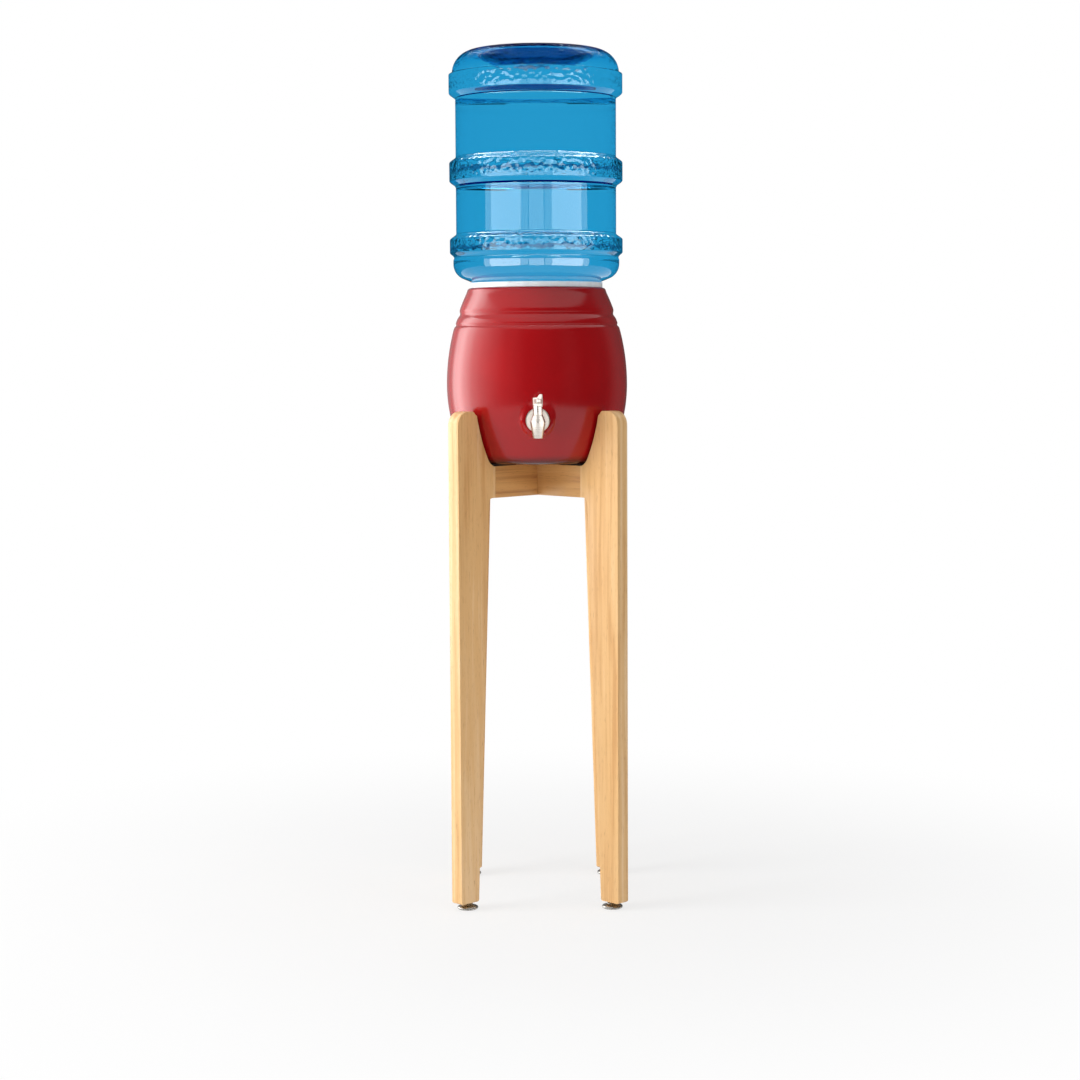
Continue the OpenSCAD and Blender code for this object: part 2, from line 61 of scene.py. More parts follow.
BOTTLE_LOW, BOTTLE_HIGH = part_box("bottle")
CROCK_LOW, CROCK_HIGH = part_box("crock")
SEAT_LOW, SEAT_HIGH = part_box("seat_ring")
SPOUT_LOW, SPOUT_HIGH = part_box("tap_bonnet")
FLANGE_LOW, FLANGE_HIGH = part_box("tap_flange")

AXIS_Y = (BOTTLE_LOW[1] + BOTTLE_HIGH[1]) / 2     # the crock's axis, with X = 0
CROCK_BASE = CROCK_LOW[2]
RIM_TOP = CROCK_HIGH[2]
SEAT_TOP = SEAT_HIGH[2]
STEM_Y = (SPOUT_LOW[1] + SPOUT_HIGH[1]) / 2       # the tap's stem, with X = 0
TAP_Z = (FLANGE_LOW[2] + FLANGE_HIGH[2]) / 2
TAP_FACE_Y = FLANGE_HIGH[1] + 1.5 * MM            # the flat face on the crock

CORNERS = {"front_left": -135, "front_right": -45, "rear_left": 135, "rear_right": 45}


# ---------- camera, lamps and floor ----------

CAMERA_AWAY = 3.1306          # level distance from the crock's axis
CAMERA_UP = 0.7847
CAMERA_SIDE = math.radians(-0.32)
CAMERA_DOWN = math.radians(5.108)
CAMERA_ROLL = math.radians(-0.30)
CAMERA_YAW = math.radians(-0.056)
FRAME_PIXELS = 1080           # width of the picture
FOCAL_PIXELS = 2221.6         # focal length, in pixels of that picture
SENSOR_MM = 36


def place_camera():
    data = bpy.data.cameras.new("camera")
    data.sensor_width = SENSOR_MM
    data.lens = SENSOR_MM * FOCAL_PIXELS / FRAME_PIXELS
    data.clip_end = 60
    camera = bpy.data.objects.new("camera", data)
    bpy.context.scene.collection.objects.link(camera)
    place = Vector((CAMERA_AWAY * math.sin(CAMERA_SIDE),
                    AXIS_Y - CAMERA_AWAY * math.cos(CAMERA_SIDE), CAMERA_UP))
    turn = (Matrix.Rotation(CAMERA_SIDE + CAMERA_YAW, 4, "Z")
            @ Matrix.Rotation(math.radians(90) - CAMERA_DOWN, 4, "X")
            @ Matrix.Rotation(CAMERA_ROLL, 4, "Z"))
    camera.matrix_world = Matrix.Translation(place) @ turn
    bpy.context.scene.camera = camera


def softbox(name, place, aim, width, height, watts, tint="#ffffff"):
    """A rectangular soft lamp at place, turned to face aim."""
    data = bpy.data.lights.new(name, "AREA")
    data.shape = "RECTANGLE"
    data.size = width
    data.size_y = height
    data.energy = watts
    data.color = linear(tint)[:3]
    lamp = bpy.data.objects.new(name, data)
    lamp.visible_glossy = False
    lamp.visible_transmission = False
    bpy.context.scene.collection.objects.link(lamp)
    way = Vector(aim) - Vector(place)
    lamp.matrix_world = Matrix.Translation(place) @ way.to_track_quat("-Z", "Y").to_matrix().to_4x4()
    return lamp


# ---------- materials ----------

def linear(code):
    """An sRGB hex colour as a linear RGBA value."""
    parts = [int(code[i:i + 2], 16) / 255 for i in (1, 3, 5)]
    return tuple(c / 12.92 if c <= 0.04045 else ((c + 0.055) / 1.055) ** 2.4 for c in parts) + (1,)


def new_material(name):
    """A material with an empty node tree, its output and its Principled shader."""
    material = bpy.data.materials.new(name)
    material.use_nodes = True
    tree = material.node_tree
    tree.nodes.clear()
    shader = add(tree, "ShaderNodeBsdfPrincipled")
    add(tree, "ShaderNodeOutputMaterial", Surface=shader.outputs[0])
    return material, tree, shader


def add(tree, kind, settings=None, **sockets):
    """Adds a node, sets its properties, and sets or links its input sockets by name."""
    made = tree.nodes.new(kind)
    for key, value in (settings or {}).items():
        setattr(made, key, value)
    for key, value in sockets.items():
        socket = made.inputs[int(key[1:])] if key[0] == "i" and key[1:].isdigit() \
            else made.inputs[key.replace("_", " ")]
        if isinstance(value, bpy.types.NodeSocket):
            tree.links.new(value, socket)
        else:
            socket.default_value = value
    return made


def connect(tree, shader, **sockets):
    """Sets or links a shader's input sockets by name."""
    for key, value in sockets.items():
        socket = shader.inputs[key.replace("_", " ")]
        if isinstance(value, bpy.types.NodeSocket):
            tree.links.new(value, socket)
        else:
            socket.default_value = value


def ramp(tree, factor, stops):
    """A colour ramp whose stops are (place, hex colour or linear colour)."""
    made = add(tree, "ShaderNodeValToRGB", Fac=factor)
    made.color_ramp.interpolation = "EASE"
    elements = made.color_ramp.elements
    elements.remove(elements[1])
    for number, (place, colour) in enumerate(stops):
        element = elements.new(place) if number else elements[0]
        element.position = place
        element.color = linear(colour) if isinstance(colour, str) else colour
    return made.outputs["Color"]


def placed(tree, centre=(0, 0, 0), turn=0.0, stretch=(1, 1, 1)):
    """Object coordinates measured from centre, turned about Z and stretched."""
    where = add(tree, "ShaderNodeTexCoord").outputs["Object"]
    moved = add(tree, "ShaderNodeMapping", {"vector_type": "POINT"},
                Vector=where, Location=[-c for c in centre])
    turned = add(tree, "ShaderNodeMapping", {"vector_type": "POINT"}, Vector=moved.outputs[0],
                 Rotation=(0, 0, turn))
    return add(tree, "ShaderNodeMapping", {"vector_type": "POINT"}, Vector=turned.outputs[0],
               Scale=stretch).outputs[0]


def noise(tree, vector, scale, detail=3.0, roughness=0.5, distortion=0.0):
    return add(tree, "ShaderNodeTexNoise", Vector=vector, Scale=scale, Detail=detail,
               Roughness=roughness, Distortion=distortion).outputs["Fac"]


def math_node(tree, operation, a, b=0.0, clamp=False):
    return add(tree, "ShaderNodeMath", {"operation": operation, "use_clamp": clamp},
               i0=a, i1=b).outputs[0]


def between(tree, value, low, high, to_low=0.0, to_high=1.0):
    """A smooth rise from to_low at low to to_high at high."""
    return add(tree, "ShaderNodeMapRange", {"interpolation_type": "SMOOTHSTEP"}, Value=value,
               From_Min=low, From_Max=high, To_Min=to_low, To_Max=to_high).outputs[0]


def bump(tree, height, depth, strength=1.0, onto=None):
    """Bump whose height of 1 stands for depth in metres."""
    made = add(tree, "ShaderNodeBump", Height=height, Distance=depth, Strength=strength)
    if onto is not None:
        tree.links.new(onto, made.inputs["Normal"])
    return made.outputs[0]


def rubberwood(name, turn, shift, tones, along="Z"):
    """Lacquered rubberwood board: straight pale grain, short dark pores, a satin film."""
    material, tree, shader = new_material(name)
    centre = (shift[0], AXIS_Y + shift[1], shift[2])
    grain_mm, run_mm = 5.0, 190.0
    pore_mm, pore_run_mm = 0.7, 16.0

    def stretched(across, run):
        sides = (1 / (across * MM), 1 / (across * MM), 1 / (run * MM))
        if along == "X":
            sides = (sides[2], sides[1], sides[0])
        return placed(tree, centre, turn, sides)

    grain = noise(tree, stretched(grain_mm, run_mm), 1.0, 4.0, 0.55, 0.6)
    broad = noise(tree, stretched(26.0, 320.0), 1.0, 2.0, 0.5, 0.9)
    growth = add(tree, "ShaderNodeTexWave", {"wave_type": "BANDS", "bands_direction": "Y"},
                 Vector=stretched(46.0, 620.0), Scale=1.0, Distortion=5.0, Detail=2.0,
                 Detail_Scale=1.4).outputs["Fac"]
    pores = noise(tree, stretched(pore_mm, pore_run_mm), 1.0, 2.0, 0.6)
    pore_mask = between(tree, pores, 0.60, 0.74)
    mixed = math_node(tree, "ADD", math_node(tree, "MULTIPLY", grain, 0.50),
                      math_node(tree, "MULTIPLY", growth, 0.22))
    mixed = math_node(tree, "ADD", mixed, math_node(tree, "MULTIPLY", broad, 0.34))
    colour = ramp(tree, mixed, [(0.30, tones[0]), (0.50, tones[1]), (0.72, tones[2])])
    shaded = add(tree, "ShaderNodeMix", {"data_type": "RGBA", "blend_type": "MULTIPLY"},
                 Factor=math_node(tree, "MULTIPLY", pore_mask, 0.55),
                 i6=colour, i7=linear("#a9773f")).outputs[2]
    relief = math_node(tree, "SUBTRACT", math_node(tree, "MULTIPLY", grain, 0.4), pore_mask)
    connect(tree, shader, Base_Color=shaded, Metallic=0.0, IOR=1.5,
            Roughness=between(tree, pores, 0.3, 0.8, 0.36, 0.5),
            Normal=bump(tree, relief, 0.00012, 0.5),
            Coat_Weight=0.12, Coat_Roughness=0.28)
    return material


def red_glaze():
    """Glossy red glaze over stoneware: deep colour, faint orange peel, and painted shade near black
    over the bottom 15 mm towards the foot.
    """
    material, tree, shader = new_material("red_stoneware_glaze")
    where = placed(tree, (0, AXIS_Y, 0))
    cloud = noise(tree, where, 9.0, 3.0)
    fleck = noise(tree, where, 900.0, 1.0)
    colour = ramp(tree, cloud, [(0.3, "#9e060e"), (0.5, "#a7070f"), (0.7, "#af0911")])
    height = add(tree, "ShaderNodeSeparateXYZ", Vector=where).outputs["Z"]
    # painted shade: over the bottom 15 mm the glaze is mixed towards near black, standing in for the
    # shadow in the gap above the stand's beams
    painted_foot_shade = between(tree, height, CROCK_BASE + 1 * MM, CROCK_BASE + 15 * MM, 0.88, 0.0)
    colour = add(tree, "ShaderNodeMix", {"data_type": "RGBA"}, Factor=painted_foot_shade,
                 i6=colour, i7=linear("#2e0f08")).outputs[2]
    waves = noise(tree, where, 22.0, 1.0)
    peel = noise(tree, where, 420.0, 2.0)
    relief = bump(tree, peel, 0.00001, 0.5, bump(tree, waves, 0.0006, 0.25))
    connect(tree, shader, Base_Color=colour, Metallic=0.0, IOR=1.5,
            Roughness=between(tree, fleck, 0.3, 0.8, 0.13, 0.2), Normal=relief)
    return material


def white_glaze():
    """The crock's inside: white glaze with a faint bluish cast and pinholes."""
    material, tree, shader = new_material("white_stoneware_glaze")
    where = placed(tree, (0, AXIS_Y, 0))
    pins = between(tree, noise(tree, where, 700.0, 1.0), 0.70, 0.80)
    colour = add(tree, "ShaderNodeMix", {"data_type": "RGBA"}, Factor=pins,
                 i6=linear("#e9e8e2"), i7=linear("#b9b4a6")).outputs[2]
    connect(tree, shader, Base_Color=colour, Metallic=0.0, IOR=1.52,
            Roughness=between(tree, noise(tree, where, 60.0), 0.3, 0.7, 0.12, 0.2),
            Normal=bump(tree, noise(tree, where, 40.0, 2.0), 0.0004, 0.4))
    return material


def bare_stoneware():
    """The crock's unglazed foot: sandy buff clay, rough and speckled."""
    material, tree, shader = new_material("bare_stoneware")
    where = placed(tree, (0, AXIS_Y, 0))
    grit = noise(tree, where, 1400.0, 2.0)
    colour = ramp(tree, grit, [(0.3, "#b08c6a"), (0.55, "#d4b895"), (0.75, "#e2ccae")])
    connect(tree, shader, Base_Color=colour, Metallic=0.0, IOR=1.5, Roughness=0.85,
            Normal=bump(tree, grit, 0.0002, 0.6))
    return material


def blue_polycarbonate():
    """Clear blue polycarbonate, blow-moulded: glossy walls, pebbled outside on ribs and crown, and
    painted dark navy shade on the thick base and in jagged strips on the two lower ribs.
    """
    material, tree, shader = new_material("blue_polycarbonate")
    where = placed(tree, (0, AXIS_Y, 0))
    height = add(tree, "ShaderNodeSeparateXYZ", Vector=where).outputs["Z"]
    mask = None
    for low, high in RIB_BANDS:
        up = between(tree, height, low + 0.008, low + 0.016)
        down = between(tree, height, high - 0.007, high - 0.002, 1.0, 0.0)
        band = math_node(tree, "MULTIPLY", up, down)
        mask = band if mask is None else math_node(tree, "MAXIMUM", mask, band)
    crown = between(tree, height, CROWN_PEBBLES[0], CROWN_PEBBLES[1])
    mask = math_node(tree, "MAXIMUM", mask, math_node(tree, "MULTIPLY", crown, 0.7))
    outside = add(tree, "ShaderNodeAttribute", {"attribute_name": "outer_skin"}).outputs["Fac"]
    mask = math_node(tree, "MULTIPLY", mask, outside)
    pebble_mm = 7.0
    pebbles = add(tree, "ShaderNodeTexVoronoi", {"feature": "SMOOTH_F1"}, Vector=where,
                  Scale=1 / (pebble_mm * MM), Smoothness=0.6).outputs["Distance"]
    relief = math_node(tree, "MULTIPLY", pebbles, mask)
    ripple = noise(tree, placed(tree, (0, AXIS_Y, 0), 0, (1, 1, 0.25)), 30.0, 2.0)
    surface = bump(tree, relief, PEBBLE_DEPTH, 1.0, bump(tree, ripple, 0.0012, 0.03))
    # painted shade: a jagged dark navy strip round the faces of the two lower ribs, standing in for
    # the dark lines that refraction through the water draws there
    jag = noise(tree, where, 110.0, 2.0)
    jagged = math_node(tree, "ADD", height, math_node(tree, "MULTIPLY", jag, 0.016))
    painted_dark_strip = None
    for low, high in RIB_BANDS[:2]:
        up = between(tree, jagged, high - 0.0165, high - 0.0145)
        down = between(tree, jagged, high - 0.0115, high - 0.0095, 0.85, 0.0)
        band = math_node(tree, "MULTIPLY", up, down)
        painted_dark_strip = band if painted_dark_strip is None else math_node(tree, "MAXIMUM", painted_dark_strip, band)
    thick_and_painted_shade = add(tree, "ShaderNodeAttribute", {"attribute_name": "thick_base_painted_shade"}).outputs["Fac"]
    thick_and_painted_shade = math_node(tree, "MAXIMUM", thick_and_painted_shade, painted_dark_strip)
    # the thick base and the jagged rib strips are tinted dark navy: on the base this is partly its
    # thicker plastic and partly painted shade, on the ribs it is painted shade only
    tint = add(tree, "ShaderNodeMix", {"data_type": "RGBA"}, Factor=thick_and_painted_shade,
               i6=linear("#2a9fd0"), i7=linear("#03205c")).outputs[2]
    tint = add(tree, "ShaderNodeMix", {"data_type": "RGBA"}, Factor=outside,
               i6=(1, 1, 1, 1), i7=tint).outputs[2]
    # the full bottle bends light as one body, so only its outer skin has a step in density,
    # down to the air that is trapped under its base
    air = between(tree, height, WATER_TOP, WATER_TOP + 0.006)
    shoulder = between(tree, height, RIB_BANDS[0][0] - 0.006, RIB_BANDS[0][0] + 0.004, 0.75, 0.0)
    step = math_node(tree, "SUBTRACT", outside, math_node(tree, "ADD", air, shoulder), True)
    density = between(tree, step, 0.0, 1.0, 1.05, WATER_AND_WALL_IOR)
    connect(tree, shader, Base_Color=tint, Metallic=0.0, IOR=density,
            Roughness=math_node(tree, "MULTIPLY", mask, 0.04),
            Specular_Tint=linear("#d8f2ff"), Transmission_Weight=1.0, Normal=surface,
            Coat_Weight=math_node(tree, "MULTIPLY", outside, shoulder),
            Coat_Roughness=0.02,
            Coat_Normal=surface)
    add_volume(tree, "#b4ecf8", 130.0)
    return material


def add_volume(tree, code, density):
    """Absorption inside a clear wall, so that it is darker where it is seen edge on."""
    output = next(n for n in tree.nodes if n.bl_idname == "ShaderNodeOutputMaterial")
    soak = add(tree, "ShaderNodeVolumeAbsorption", Color=linear(code), Density=density)
    tree.links.new(soak.outputs[0], output.inputs["Volume"])


def white_plastic():
    """Injection-moulded white polypropylene: slightly waxy, soft sheen, faint mottling."""
    material, tree, shader = new_material("white_polypropylene")
    where = placed(tree, (0, AXIS_Y, 0))
    mottle = noise(tree, where, 120.0, 3.0)
    colour = ramp(tree, mottle, [(0.3, "#efefee"), (0.7, "#f8f8f7")])
    connect(tree, shader, Base_Color=colour, Metallic=0.0, IOR=1.49,
            Roughness=between(tree, mottle, 0.2, 0.8, 0.3, 0.42),
            Subsurface_Weight=0.08, Subsurface_Scale=0.004,
            Normal=bump(tree, noise(tree, where, 500.0, 2.0), 0.00002, 0.4))
    return material


def brushed_stainless(name, centre, around="Z", rough=0.22):
    """Brushed stainless steel: fine turned lines round the axis, warm grey, bright edges."""
    material, tree, shader = new_material(name)
    line_mm = 0.35
    fine, long = 1 / (line_mm * MM), 1 / (14 * MM)
    stretch = (long, long, fine) if around == "Z" else (long, fine, long)
    lines = noise(tree, placed(tree, centre, 0, stretch), 1.0, 3.0, 0.6)
    smudge = noise(tree, placed(tree, centre), 90.0, 3.0)
    mixed = math_node(tree, "ADD", math_node(tree, "MULTIPLY", lines, 0.6),
                      math_node(tree, "MULTIPLY", smudge, 0.4))
    colour = ramp(tree, mixed, [(0.25, "#b5aca3"), (0.5, "#d9d1c8"), (0.75, "#ece5dd")])
    connect(tree, shader, Base_Color=colour, Metallic=1.0,
            Roughness=between(tree, mixed, 0.2, 0.8, rough, rough + 0.14),
            Normal=bump(tree, lines, 0.00002, 0.5))
    return material


def plain_metal(name, tones, rough, grain=600.0):
    """Plated or turned metal with a fine random grain."""
    material, tree, shader = new_material(name)
    speck = noise(tree, placed(tree), grain, 3.0)
    connect(tree, shader, Base_Color=ramp(tree, speck, [(0.3, tones[0]), (0.7, tones[1])]),
            Metallic=1.0, Roughness=between(tree, speck, 0.2, 0.8, rough, rough + 0.14),
            Normal=bump(tree, speck, 0.00001, 0.5))
    return material


def black_rubber():
    """Nitrile rubber sheet: matte black with a fine fabric-like grain and pale dust."""
    material, tree, shader = new_material("nitrile_rubber")
    grain = noise(tree, placed(tree), 1800.0, 2.0)
    dust = noise(tree, placed(tree), 70.0, 3.0)
    mixed = math_node(tree, "ADD", math_node(tree, "MULTIPLY", grain, 0.5),
                      math_node(tree, "MULTIPLY", dust, 0.5))
    connect(tree, shader, Base_Color=ramp(tree, mixed, [(0.3, "#0d0c0b"), (0.7, "#2b2826")]),
            Metallic=0.0, IOR=1.52, Roughness=between(tree, grain, 0.2, 0.8, 0.6, 0.8),
            Normal=bump(tree, grain, 0.00008, 0.6))
    return material


# ---------- mesh helpers ----------

def finish(bm, name, materials, body, stands_for, smooth_deg=35):
    """Turns a bmesh into a piece that rides on body and stands for its CAD nodes."""
    mesh = bpy.data.meshes.new(name)
    bm.to_mesh(mesh)
    bm.free()
    for material in materials:
        mesh.materials.append(material)
    mesh.shade_smooth()
    mesh.set_sharp_from_angle(angle=math.radians(smooth_deg))
    piece = bpy.data.objects.new(name, mesh)
    bpy.context.scene.collection.objects.link(piece)
    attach(piece, body)
    if stands_for:
        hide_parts(*stands_for)
    return piece


def spun(bm, outline, steps, centre=(0, 0, 0), axis="Z", closed=True):
    """Spins an outline of (radius, height) points about an axis through centre."""
    verts = []
    for radius, height in outline:
        place = (radius, 0, height) if axis == "Z" else (radius, height, 0)
        verts.append(bm.verts.new(Vector(place) + Vector(centre)))
    pairs = zip(verts, verts[1:] + (verts[:1] if closed else []))
    edges = [bm.edges.new(pair) for pair in pairs if pair[0] != pair[1]]
    way = (0, 0, 1) if axis == "Z" else (0, 1, 0)
    bmesh.ops.spin(bm, geom=verts + edges, cent=centre, axis=way, dvec=(0, 0, 0),
                   angle=math.tau, steps=steps, use_merge=True, use_duplicate=False)
    bmesh.ops.remove_doubles(bm, verts=bm.verts, dist=1e-6)
    bmesh.ops.recalc_face_normals(bm, faces=bm.faces)


def rounded(points, radius, segments=4):
    """An outline with each inner corner cut by an arc-like curve of about radius."""
    result = [points[0]]
    for before, here, after in zip(points, points[1:], points[2:]):
        a, b, c = Vector(before), Vector(here), Vector(after)
        reach_in = min(radius, (a - b).length * 0.45)
        reach_out = min(radius, (c - b).length * 0.45)
        start = b + (a - b).normalized() * reach_in
        end = b + (c - b).normalized() * reach_out
        for i in range(segments + 1):
            t = i / segments
            result.append(tuple((1 - t) ** 2 * start + 2 * t * (1 - t) * b + t * t * end))
    return result + [points[-1]]


def arc(cx, cy, r, start, end, count=8):
    """Points of an arc about (cx, cy), with angles in degrees."""
    angles = [math.radians(start + (end - start) * i / count) for i in range(count + 1)]
    return [(cx + r * math.cos(a), cy + r * math.sin(a)) for a in angles]


def softened(node, width, segments=3, angle_deg=30):
    """A merged copy of a CAD node's mesh, with its sharp edges rounded by width."""
    bm = bmesh.new()
    bm.from_mesh(CAD[node].data)
    bmesh.ops.remove_doubles(bm, verts=bm.verts, dist=2e-6)
    bmesh.ops.dissolve_limit(bm, angle_limit=math.radians(1.0), verts=bm.verts, edges=bm.edges)
    sharp = [e for e in bm.edges if len(e.link_faces) == 2
             and e.calc_face_angle() > math.radians(angle_deg)]
    bmesh.ops.bevel(bm, geom=sharp, offset=width, offset_type="OFFSET", affect="EDGES",
                    segments=segments, profile=0.5, material=-1, clamp_overlap=True)
    return bm


def cast(node, grain, rounds):
    """A copy of a CAD node's mesh with the softly rounded edges of a casting."""
    bm = bmesh.new()
    bm.from_mesh(CAD[node].data)
    bmesh.ops.remove_doubles(bm, verts=bm.verts, dist=2e-6)
    mesh = bpy.data.meshes.new("pattern")
    bm.to_mesh(mesh)
    bm.free()
    pattern = bpy.data.objects.new("pattern", mesh)
    bpy.context.scene.collection.objects.link(pattern)
    mould = pattern.modifiers.new("mould", "REMESH")
    mould.mode = "VOXEL"
    mould.voxel_size = grain
    bm = bmesh.new()
    bm.from_object(pattern, bpy.context.evaluated_depsgraph_get())
    bpy.data.objects.remove(pattern)
    for _ in range(rounds):
        bmesh.ops.smooth_vert(bm, verts=bm.verts, factor=0.5, use_axis_x=True, use_axis_y=True,
                              use_axis_z=True)
    return bm


# ---------- stand ----------

def build_stand():
    tones = ("#d9a365", "#ebbd80", "#f5cf9c")
    beam_tones = ("#b98149", "#d9a363", "#e8b97b")
    for index, (corner, degrees) in enumerate(CORNERS.items()):
        wood = rubberwood("rubberwood_leg_" + corner, math.radians(-degrees),
                          (0.37 * index, 0.21 * index, 0.53 * index), tones)
        finish(softened("leg_" + corner, 2.2 * MM), "turned_leg_" + corner, [wood], "stand",
               ["leg_" + corner])
    for index, (node, degrees) in enumerate((("beam_under", 45), ("beam_over", -45))):
        wood = rubberwood("rubberwood_" + node, math.radians(-degrees),
                          (0.9 + index, 0.4, 0.3 * index), beam_tones, "X")
        finish(softened(node, 0.8 * MM, 2), "planed_" + node, [wood], "stand", [node])
    rubber = black_rubber()
    finish(softened("crock_pads", 0.6 * MM, 2), "moulded_crock_pads", [rubber], "stand",
           ["crock_pads"])
    dowel = rubberwood("beech_dowels", 0, (0.1, 0.2, 0.3), ("#b58a5c", "#caa173", "#d8b487"), "X")
    dress("beam_dowels", dowel)
    dress("foot_inserts", plain_metal("brass_inserts", ("#8d6f35", "#c7a45c"), 0.25))


def dress(node, material):
    """Gives a CAD node that stays as it is its material."""
    mesh = CAD[node].data
    mesh.materials.clear()
    mesh.materials.append(material)


def build_feet():
    """Nickel-plated levelling feet: a domed disc, and a stud with a rolled thread."""
    nickel = plain_metal("nickel_plated_steel", ("#8d8a86", "#cfccc7"), 0.2)
    pitch, groove = 1.25 * MM, 0.65 * MM
    for corner in CORNERS:
        low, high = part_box("foot_disc_" + corner)
        centre = ((low[0] + high[0]) / 2, (low[1] + high[1]) / 2, 0)
        edge, top = (high[0] - low[0]) / 2, high[2]
        bore = 4.0 * MM
        outline = rounded([(bore, 0), (edge - 2.2 * MM, 0), (edge - 1.6 * MM, 0.8 * MM),
                           (edge, 1.2 * MM), (edge, 3.2 * MM), (edge - 1.2 * MM, 4.4 * MM),
                           (bore + 3.4 * MM, top - 1.6 * MM), (bore + 2.6 * MM, top),
                           (bore, top)], 0.8 * MM)
        bm = bmesh.new()
        spun(bm, outline, 72, centre)
        finish(bm, "domed_disc_" + corner, [nickel], "foot_" + corner,
               ["foot_disc_" + corner])
        low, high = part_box("foot_stud_" + corner)
        radius = (high[0] - low[0]) / 2
        turns = int((high[2] - low[2] - 2 * MM) / pitch)
        thread = [(0, low[2]), (radius - groove, low[2])]
        for i in range(turns):
            base = low[2] + 0.8 * MM + i * pitch
            thread += [(radius - groove, base), (radius, base + pitch * 0.4),
                       (radius, base + pitch * 0.55)]
        thread += [(radius - groove, high[2] - 0.2 * MM), (0, high[2])]
        bm = bmesh.new()
        spun(bm, thread, 32, centre, closed=False)
        finish(bm, "threaded_stud_" + corner, [nickel], "foot_" + corner,
               ["foot_stud_" + corner], 60)


# ---------- crock ----------

BELLY_R, BELLY_Z = 126.5, 108.0
LOWER_R, UPPER_R, BASE_EDGE_R = 215.0, 300.0, 16.0
GROOVES = ((190.5, 2.0, 1.7), (197.75, 8.0, 0.8), (205.6, 4.2, 2.6))   # height, half-width, depth
WALL = 8.0


def upper_radius(z):
    """The crock's radius above its belly, in mm, with two grooves and the bead between."""
    plain = BELLY_R - UPPER_R + math.sqrt(UPPER_R ** 2 - (z - BELLY_Z) ** 2)
    return plain - sum(d * math.exp(-((z - c) / w) ** 2) for c, w, d in GROOVES)


def lower_curve(gap, count=26):
    """The crock's outline from the base to the belly, in mm, pushed in by gap."""
    side_x = BELLY_R - LOWER_R
    edge_x = side_x + math.sqrt((LOWER_R - BASE_EDGE_R) ** 2 - (BELLY_Z - BASE_EDGE_R) ** 2)
    meet = math.degrees(math.asin((BELLY_Z - BASE_EDGE_R) / (LOWER_R - BASE_EDGE_R)))
    return (arc(edge_x, BASE_EDGE_R, BASE_EDGE_R - gap, -90, -meet, 10)
            + arc(side_x, BELLY_Z, LOWER_R - gap, -meet, 0, count)[1:])


def crock_outline():
    rim = (RIM_TOP - CROCK_BASE) / MM
    rim_edge = 5.0
    rim_r = upper_radius(rim - rim_edge)
    outside = lower_curve(0)
    z = BELLY_Z + 3
    while z < rim - rim_edge - 0.5:
        outside.append((upper_radius(z), z))
        z += 0.8 if 184 < z < 214 else 2.6
    outside += arc(rim_r - rim_edge, rim - rim_edge, rim_edge, 12, 90, 8)
    inside = [(82.5, rim), (80.6, rim - 0.7), (80, rim - 2.4), (80, rim - 8), (81, rim - 10.5),
              (86, rim - 15)]
    z = rim - 22
    while z > BELLY_Z + 3:
        inside.append((BELLY_R - UPPER_R + math.sqrt((UPPER_R - WALL) ** 2 - (z - BELLY_Z) ** 2), z))
        z -= 6
    floor = WALL + 2
    inner = [(r, h) for r, h in reversed(lower_curve(WALL, 14)) if h > floor + 14]
    last = inner[-1][0]
    inside += inner + arc(last - 15, floor + 15, 15, -12, -90, 8) + [(0, floor)]
    foot = [(0, 2), (71, 2), (72, 1.6), (72.6, 0.5), (73.6, 0)]
    return foot, outside, inside


def build_crock():
    foot, outside, inside = crock_outline()
    steps = 360
    bm = bmesh.new()
    points = [(r * MM, CROCK_BASE + h * MM) for r, h in foot + outside + inside]
    spun(bm, points, steps, (0, AXIS_Y, 0), closed=False)
    # the flat round face under the tap, with a softly rounded edge like a dipped glaze
    flat_r, blend = 21 * MM, 3.2 * MM
    for vert in bm.verts:
        x, z = vert.co.x, vert.co.z - TAP_Z
        away = math.hypot(x, z)
        radius = math.hypot(vert.co.x, vert.co.y - AXIS_Y)
        height = (vert.co.z - CROCK_BASE) / MM
        outer = vert.co.y < AXIS_Y and radius > (BELLY_R - WALL - 1) * MM - 0.018 and \
            radius > outer_radius(height) * MM - 1.5 * MM
        if outer and away < flat_r + blend:
            t = max(0.0, min(1.0, (flat_r + blend - away) / blend))
            t = t * t * (3 - 2 * t)
            vert.co.y += (TAP_FACE_Y - vert.co.y) * t
    for face in bm.faces:
        middle = face.calc_center_median()
        radius = math.hypot(middle.x, middle.y - AXIS_Y) / MM
        height = (middle.z - CROCK_BASE) / MM
        if height < 2.2 and radius < 86:
            face.material_index = 2
        elif radius < outer_radius(height) - 3 and height > 3 and \
                not (height > (RIM_TOP - CROCK_BASE) / MM - 6 and radius > 80.5):
            face.material_index = 1
    finish(bm, "glazed_crock", [red_glaze(), white_glaze(), bare_stoneware()], "crock",
           ["crock"], 50)


def outer_radius(height):
    """The crock's plain outer radius at a height, in mm."""
    if height > BELLY_Z:
        return upper_radius(min(height, 241))
    if height > 8.6:
        return BELLY_R - LOWER_R + math.sqrt(LOWER_R ** 2 - (height - BELLY_Z) ** 2)
    return 88 + math.sqrt(max(0, BASE_EDGE_R ** 2 - (BASE_EDGE_R - height) ** 2))


